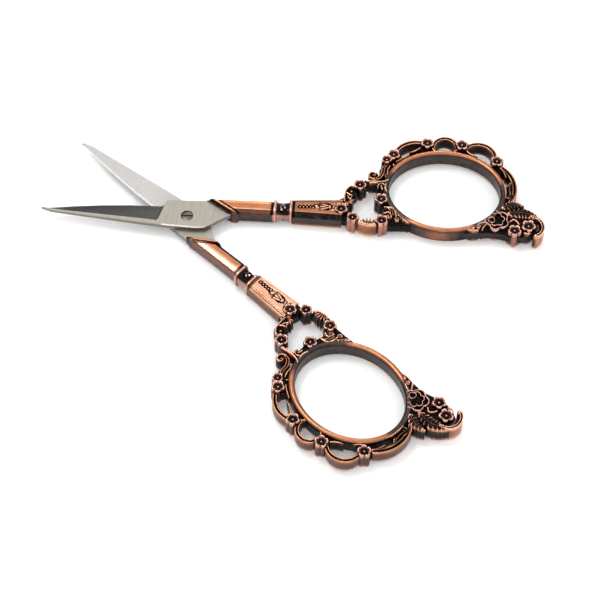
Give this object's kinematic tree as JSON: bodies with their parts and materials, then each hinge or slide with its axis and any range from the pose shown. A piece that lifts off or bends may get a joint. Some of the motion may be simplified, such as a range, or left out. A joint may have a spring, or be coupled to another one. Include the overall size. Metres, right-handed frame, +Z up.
{
  "type": "embroidery scissors",
  "caption": "Small straight-bladed craft scissors with openwork cast copper handles, blossom borders and oval finger bows, turning on a slotted pivot screw.",
  "frame": {"origin": "on the pivot axis, level with the underside of both castings, where the scissors lie on a table", "axes": "+X from the pivot towards the handles, midway between them; +Y towards the upper half's handle; +Z up along the pivot axis, out of the screw's slotted head"},
  "size_m": [0.1206, 0.101, 0.0053],
  "materials": {
    "blade_steel": "ground and fine brushed, warm grey, hollow bevel darker",
    "screw_steel": "turned and polished steel",
    "antique_copper": "copper plate, dark patina in the hollows, polished on the ridges",
    "dark_copper": "copper plate with more of the dark patina left, rims polished"
  },
  "bodies": {
    "lower_half": {"pivot_screw": "screw_steel", "blade_lower": "blade_steel", "bolster_lower": "antique_copper", "shank_lower": "antique_copper", "collar_lower": "dark_copper", "vine_bar_lower": "antique_copper", "wreath_lower": "antique_copper", "wreath_blossoms_lower": "dark_copper", "finger_bow_lower": "antique_copper", "lace_border_lower": "antique_copper", "border_blossoms_lower": "dark_copper", "rose_lower": "dark_copper", "leaf_spray_lower": "antique_copper", "tail_blossoms_lower": "dark_copper", "tail_scroll_lower": "antique_copper"},
    "upper_half": {"blade_upper": "blade_steel", "bolster_upper": "antique_copper", "shank_upper": "antique_copper", "collar_upper": "dark_copper", "vine_bar_upper": "antique_copper", "wreath_upper": "antique_copper", "wreath_blossoms_upper": "dark_copper", "finger_bow_upper": "antique_copper", "lace_border_upper": "antique_copper", "border_blossoms_upper": "dark_copper", "rose_upper": "dark_copper", "leaf_spray_upper": "antique_copper", "tail_blossoms_upper": "dark_copper", "tail_scroll_upper": "antique_copper"}
  },
  "joints": [
    {"name": "pivot", "type": "hinge", "parent": "lower_half", "child": "upper_half", "pos_m": [0, 0, 0.00265], "axis": [0, 0, 1], "range_deg": [-35.4, 60]}
  ]
}
